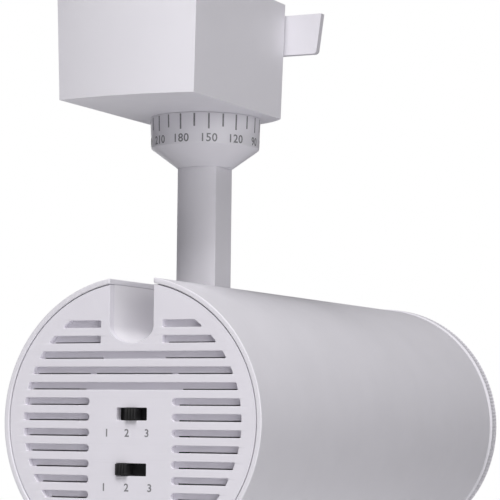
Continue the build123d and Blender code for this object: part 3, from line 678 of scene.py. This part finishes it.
def rear_cap():
    """Face plate with pockets, a back plate with slits, and a skirt inside the tube."""
    face = cap_low.x - REAR_X
    floor = face + ROW_DEPTH
    back = face + 2.6
    skirt_end = cap_high.x - REAR_X
    skirt_r, skirt_wall, skirt_gap = CAP_R - 0.05, 1.95, 8.6 / CAP_R
    windows = [window_outline(height) for height in SWITCH_HEIGHTS.values()]
    front_plate = plate_mesh(
        notched_disc(CAP_R), louvre_outlines() + windows, face, floor, 0.14, across_tube
    )
    # The plates and the skirt overlap a little, so no light passes between them.
    back_plate = plate_mesh(
        notched_disc(skirt_r), slit_outlines() + windows, floor - 0.02, back, 0.02, across_tube
    )
    ring = open_circle(skirt_r, skirt_gap)
    ring += open_circle(skirt_r - skirt_wall, skirt_gap, clockwise=True)
    skirt = plate_mesh(ring, [], back - 0.05, skirt_end, 0.15, across_tube)
    cap = joined(front_plate, back_plate, skirt)
    weighted(finish_piece("rear_cap_grille", cap, "head", "cap_plastic", ["rear_cap"], 28))


rear_cap()


# ---------------------------------------------------------------- sliders


def slider(name, body, height):
    """Ribbed grip in the window, dust plate behind it and a foot that reaches into the switch."""
    low, high = box_mm(name)
    middle = (low.y + high.y) / 2
    grip_half, grip_height, proud = 1.8, 3.1, low.x - REAR_X
    dust_front, dust_back, foot_end = 3.2, 4.0, 7.0
    ridges, groove = 4, 0.32
    step = 2 * grip_half / ridges
    outline = [(middle - grip_half, dust_front + 0.2)]
    for i in range(ridges):
        left = middle - grip_half + i * step
        outline += [
            (left + 0.12 * step, proud + groove),
            (left + 0.30 * step, proud),
            (left + 0.70 * step, proud),
            (left + 0.88 * step, proud + groove),
        ]
    outline.append((middle + grip_half, dust_front + 0.2))

    def upright(u, v, w):
        return (REAR_X + v, u, AXIS_Z + height + w)

    def facing(u, v, w):
        return (REAR_X + w, middle + u, AXIS_Z + height + v)

    verts, faces = prism(outline, -grip_height / 2, grip_height / 2, upright)
    dust_plate = prism(rounded_box(7.9, 2.5), dust_front, dust_back, facing)
    foot = prism(rounded_box(1.2, 1.1), dust_back - 0.1, foot_end, facing)
    for more, sides in (dust_plate, foot):
        faces += [tuple(i + len(verts) for i in face) for face in sides]
        verts += more
    mesh = bevelled(closed_mesh(verts, faces), 0.07, 2, 30)
    finish_piece(name + "_grip", mesh, body, "knob_plastic", [name], 50)


slider("power_knob", "power_slider", SWITCH_HEIGHTS["power"])
slider("colour_knob", "colour_slider", SWITCH_HEIGHTS["colour"])


# ---------------------------------------------------------------- printed marks


def legend(name, places, height):
    """Numerals 1 2 3 printed under a switch's window, at those places along Y."""
    face = cap_low.x - 0.02
    meshes = []
    for number, place_y in enumerate(places, 1):

        def on_cap(u, v, w, y=place_y):
            return (face + w, y - u, AXIS_Z + height + v)

        meshes.append(text_mesh(str(number), 3.0, on_cap))
    finish_piece(name, joined(*meshes), "head", "cap_plastic", material=ink)


legend("power_legend", (7.2, 0.9, -5.3), -3.3)
legend("colour_legend", (7.9, 0.8, -6.4), -18.2)


def scale_marks():
    """Degree scale round the collar: a tick every 15 degrees and a number every 30."""
    top_r = (collar_high.x - collar_low.x) / 2
    slope = (top_r - BAND_END_R) / BAND_HEIGHT
    tick_half, tick_start, short_end, long_end = 0.24, 0.25, 4.0, 4.7
    number_size, number_drop, number_spacing = 3.35, 7.35, 1.05

    def on_collar(azimuth, along, drop, proud):
        """A point on the collar: along its girth from an azimuth, down from its top."""
        radius = top_r - slope * drop
        angle = azimuth + along / radius
        reach = radius + proud
        return (reach * math.cos(angle), reach * math.sin(angle), collar_high.z - drop)

    meshes = []
    for degrees in range(0, 360, 15):
        azimuth = math.radians(-degrees)
        numbered = degrees % 30 == 0
        end = long_end if numbered else short_end
        tick = [(-tick_half, tick_start), (tick_half, tick_start)]
        tick += [(tick_half, end), (-tick_half, end)]

        def mark(u, v, w, a=azimuth):
            return on_collar(a, u, v, w)

        def number(u, v, w, a=azimuth):
            return on_collar(a, u, number_drop - v, w)

        meshes.append(closed_mesh(*prism(tick, -INK_ROOT, INK_HEIGHT, mark)))
        if numbered:
            meshes.append(text_mesh(str(degrees), number_size, number, number_spacing))
    finish_piece("degree_scale", joined(*meshes), "stem", "collar_paint", material=ink)


# ---------------------------------------------------------------- collar


def scale_collar():
    """Turned collar and cone in one piece, edges softened."""
    top, bottom = collar_high.z, collar_low.z
    top_r = (collar_high.x - collar_low.x) / 2
    # A little above the CAD's collar, so that no gap shows under the adaptor
    seat = top + 0.1
    corners = [
        (seat, COLLAR_BORE),
        (seat, top_r),
        (top - BAND_HEIGHT, BAND_END_R),
        (bottom, CONE_END_R),
        (bottom, COLLAR_BORE),
    ]
    profile = rounded(corners, [0, 0.12, 0.5, 0.35, 0], 5)
    verts, faces = lathe(profile, about_swivel, 256)
    mesh_piece("collar_and_cone", verts, faces, "stem", "collar_paint", ["scale_collar"], 40)


scale_collar()
scale_marks()


# ---------------------------------------------------------------- front bezel


def front_bezel():
    """Ring with a bayonet neck, a chamfered rim and a finely knurled band."""
    start, end = FRONT_X - REAR_X + 0.2, bezel_high.x - REAR_X
    outer = (bezel_high.z - bezel_low.z) / 2
    neck_start = bezel_low.x - REAR_X
    neck_bore, neck_r, opening_r = 36.9, 38.2, 34.0
    lip = end - 1.8
    band_start, band_end, band_slope = start + 1.1, end - 0.8, 0.3
    teeth, depth = 210, 0.28
    before_band = [
        (neck_start, neck_bore),
        (neck_start, neck_r),
        (start, neck_r),
        (start, outer - 1.1),
        (band_start - 0.05, outer - 0.05),
    ]
    after_band = [
        (band_end + 0.05, outer - 0.05),
        (end, outer - 0.8),
        (end, opening_r + 0.8),
        (end - 0.8, opening_r),
        (lip, opening_r),
        (lip, neck_bore),
    ]
    before_band = rounded(before_band, [0.2, 0.3, 0, 0.2, 0], 3, closed=False)
    after_band = rounded(after_band, [0, 0.2, 0.2, 0.15, 0, 0], 3, closed=False)
    tooth_cuts = (0, 0.5 * depth, depth, 0.5 * depth)
    segments = teeth * len(tooth_cuts)
    verts = []
    for s in range(segments):
        angle = 2 * math.pi * s / segments
        root = outer - tooth_cuts[s % len(tooth_cuts)]
        band = [
            (band_start, outer - 0.02),
            (band_start + band_slope, root),
            (band_end - band_slope, root),
            (band_end, outer - 0.02),
        ]
        column = before_band + band + after_band
        verts += [about_tube(along, radius, angle) for along, radius in column]
    faces = ring_faces(len(column), segments)
    mesh_piece("knurled_bezel", verts, faces, "bezel", "bezel_paint", ["front_bezel"], 25)


front_bezel()


# ---------------------------------------------------------------- light source


def circle_through(a, b, c):
    """Centre and radius of the circle through three points in the plane."""
    (ax, ay), (bx, by), (cx, cy) = a, b, c
    aa, bb, cc = ax**2 + ay**2, bx**2 + by**2, cx**2 + cy**2
    d = 2 * (ax * (by - cy) + bx * (cy - ay) + cx * (ay - by))
    ux = (aa * (by - cy) + bb * (cy - ay) + cc * (ay - by)) / d
    uy = (aa * (cx - bx) + bb * (ax - cx) + cc * (bx - ax)) / d
    return (ux, uy), math.hypot(ax - ux, ay - uy)


def arc_through(a, b, c, steps):
    """Points along the arc from a through b to c."""
    centre, radius = circle_through(a, b, c)
    start, middle, end = (
        math.degrees(math.atan2(p[1] - centre[1], p[0] - centre[0])) for p in (a, b, c)
    )
    # Each angle is taken on the turn that is nearest to the one before it.
    middle -= 360 * round((middle - start) / 360)
    end -= 360 * round((end - middle) / 360)
    return arc(centre, radius, start, end, steps)


def reflector():
    """Bright cup of flat facets in staggered rows, smooth outside, with a flange at its mouth."""
    low, high = box_mm("reflector")
    start, end = low.x - REAR_X, high.x - REAR_X
    rows, facets = 11, 40
    flange_back, flange_r = end - 0.8, 36.4
    inner = arc_through((start, 10.6), (start + 6.3, 25.6), (end, 34.4), rows)
    outer = arc_through((flange_back, 35.0), (start + 5.6, 26.1), (start, 11.6), rows)
    profile = inner + [(end, flange_r), (flange_back, flange_r)] + outer
    verts, faces = [], []
    count = len(profile)
    for s in range(facets):
        for i, (along, radius) in enumerate(profile):
            stagger = 0.5 if i <= rows and i % 2 else 0
            verts.append(about_tube(along, radius, 2 * math.pi * (s + stagger) / facets))
    for s in range(facets):
        here, there = s * count, ((s + 1) % facets) * count
        for i in range(count):
            j = (i + 1) % count
            a, b, c, d = here + i, here + j, there + j, there + i
            if i >= rows:
                faces.append((a, b, c, d))
            else:
                faces += [(a, b, c), (a, c, d)] if i % 2 else [(a, b, d), (b, c, d)]
    mesh_piece("faceted_reflector", verts, faces, "head", "reflector_metal", ["reflector"], 3)


reflector()


chip_low, chip_high = box_mm("led_chip")
CHIP_START = chip_low.x - REAR_X
CHIP_R = (chip_high.y - chip_low.y) / 2
CHIP_STEPS = 96
DAM_R = 0.45


def led_chip():
    """Domed phosphor inside the dam."""
    dome_r, centre_height, fall, rings = CHIP_R - 2 * DAM_R, 0.46, 0.12, 8
    profile = [(CHIP_START, 0.01)]
    for i in range(rings + 1):
        height = centre_height - fall * (i / rings) ** 2
        profile.append((CHIP_START + height, max(dome_r * i / rings, 0.01)))
    profile.append((CHIP_START, dome_r))
    verts, faces = lathe(profile, about_tube, CHIP_STEPS)
    mesh_piece("phosphor_dome", verts, faces, "head", "phosphor", ["led_chip"], 40)


def led_dam():
    """White silicone dam round the phosphor."""
    section = arc((CHIP_START, CHIP_R - DAM_R), 0.5, 90, -90, 8)
    profile = [(max(CHIP_START, along), radius) for along, radius in section]
    verts, faces = lathe(profile, about_tube, CHIP_STEPS)
    mesh_piece("led_dam", verts, faces, "head", "led_substrate", (), 40)


led_chip()
led_dam()


# ---------------------------------------------------------------- floor, light, camera


FLOOR_Z = -0.34
FLOOR_R = 0.6
FLOOR_SEGMENTS = 96
LIT_POINT = (0.0, 0.0, -0.1)
COOL_WHITE = (1, 0.985, 1)
# Name, place, side of the square, power and colour. The first three fit the photograph's levels,
# and the last shows the front in other views.
LIGHTS = (
    ("key", (-0.9, -0.3, 1.2), 0.8, 21, COOL_WHITE),
    ("camera_side", (-0.95, -1.0, 0.12), 0.8, 5.2, COOL_WHITE),
    ("side", (-0.55, -1.3, 0.1), 0.6, 1.8, COOL_WHITE),
    ("front_fill", (1.15, 0.95, 0.0), 0.5, 3, (1, 1, 1)),
)


def studio_floor():
    """Pale disc under the lamp."""
    verts = [(0, 0, FLOOR_Z)]
    verts += [(x, y, FLOOR_Z) for x, y in arc((0, 0), FLOOR_R, 0, 360, FLOOR_SEGMENTS)[:-1]]
    faces = [(0, 1 + i, 1 + (i + 1) % FLOOR_SEGMENTS) for i in range(FLOOR_SEGMENTS)]
    mesh = bpy.data.meshes.new("floor")
    mesh.from_pydata(verts, [], faces)
    floor = bpy.data.objects.new("floor", mesh)
    bpy.context.scene.collection.objects.link(floor)
    paint = Shader("floor_paint", (0.9, 0.9, 0.91), 0.6)
    paint.vary_colour(80, 0.01)
    floor.data.materials.append(paint.material)


def surround():
    """White to the camera, and a faint cool light to the object."""
    world = bpy.data.worlds.new("studio")
    bpy.context.scene.world = world
    world.use_nodes = True
    nodes, links = world.node_tree.nodes, world.node_tree.links
    nodes.clear()
    output = nodes.new("ShaderNodeOutputWorld")
    mix = nodes.new("ShaderNodeMixShader")
    path = nodes.new("ShaderNodeLightPath")
    links.new(path.outputs["Is Camera Ray"], mix.inputs["Fac"])
    ambient, seen = ((0.97, 0.97, 1.0, 1), 0.09), ((1, 1, 1, 1), 1.0)
    for socket, (colour, strength) in enumerate((ambient, seen), 1):
        background = nodes.new("ShaderNodeBackground")
        background.inputs["Color"].default_value = colour
        background.inputs["Strength"].default_value = strength
        links.new(background.outputs["Background"], mix.inputs[socket])
    links.new(mix.outputs["Shader"], output.inputs["Surface"])


def area_light(name, place, side, power, colour):
    """A soft square light that faces the lamp."""
    light = bpy.data.lights.new(name, "AREA")
    light.shape = "RECTANGLE"
    light.size = light.size_y = side
    light.energy = power
    light.color = colour
    holder = bpy.data.objects.new(name, light)
    bpy.context.scene.collection.objects.link(holder)
    holder.location = place
    direction = Vector(LIT_POINT) - Vector(place)
    holder.rotation_euler = direction.to_track_quat("-Z", "Y").to_euler()


studio_floor()
surround()
for light_row in LIGHTS:
    area_light(*light_row)


# Fitted to the photograph: place in metres, angles in radians, lens and sensor in millimetres
CAMERA_PLACE = (-0.57744, -0.28966, -0.12433)
CAMERA_YAW, CAMERA_PITCH, CAMERA_ROLL = 0.444, 0.080, 0.011
CAMERA_LENS, CAMERA_SENSOR = 158.75, 36


def camera():
    """Level with the tube's axis, behind and to the right of the lamp, looking slightly up."""
    flat = math.cos(CAMERA_PITCH)
    forward = Vector(
        (flat * math.cos(CAMERA_YAW), flat * math.sin(CAMERA_YAW), math.sin(CAMERA_PITCH))
    )
    level = Vector((math.sin(CAMERA_YAW), -math.cos(CAMERA_YAW), 0))
    upright = level.cross(forward)
    right = math.cos(CAMERA_ROLL) * level + math.sin(CAMERA_ROLL) * upright
    above = math.cos(CAMERA_ROLL) * upright - math.sin(CAMERA_ROLL) * level
    lens = bpy.data.cameras.new("photo_camera")
    lens.lens = CAMERA_LENS
    lens.sensor_width = CAMERA_SENSOR
    lens.clip_start = 0.01
    lens.clip_end = 50
    holder = bpy.data.objects.new("photo_camera", lens)
    bpy.context.scene.collection.objects.link(holder)
    turn = Matrix((right, above, -forward)).transposed().to_4x4()
    holder.matrix_world = Matrix.Translation(CAMERA_PLACE) @ turn
    bpy.context.scene.camera = holder


camera()
bpy.context.scene.view_settings.view_transform = "Standard"
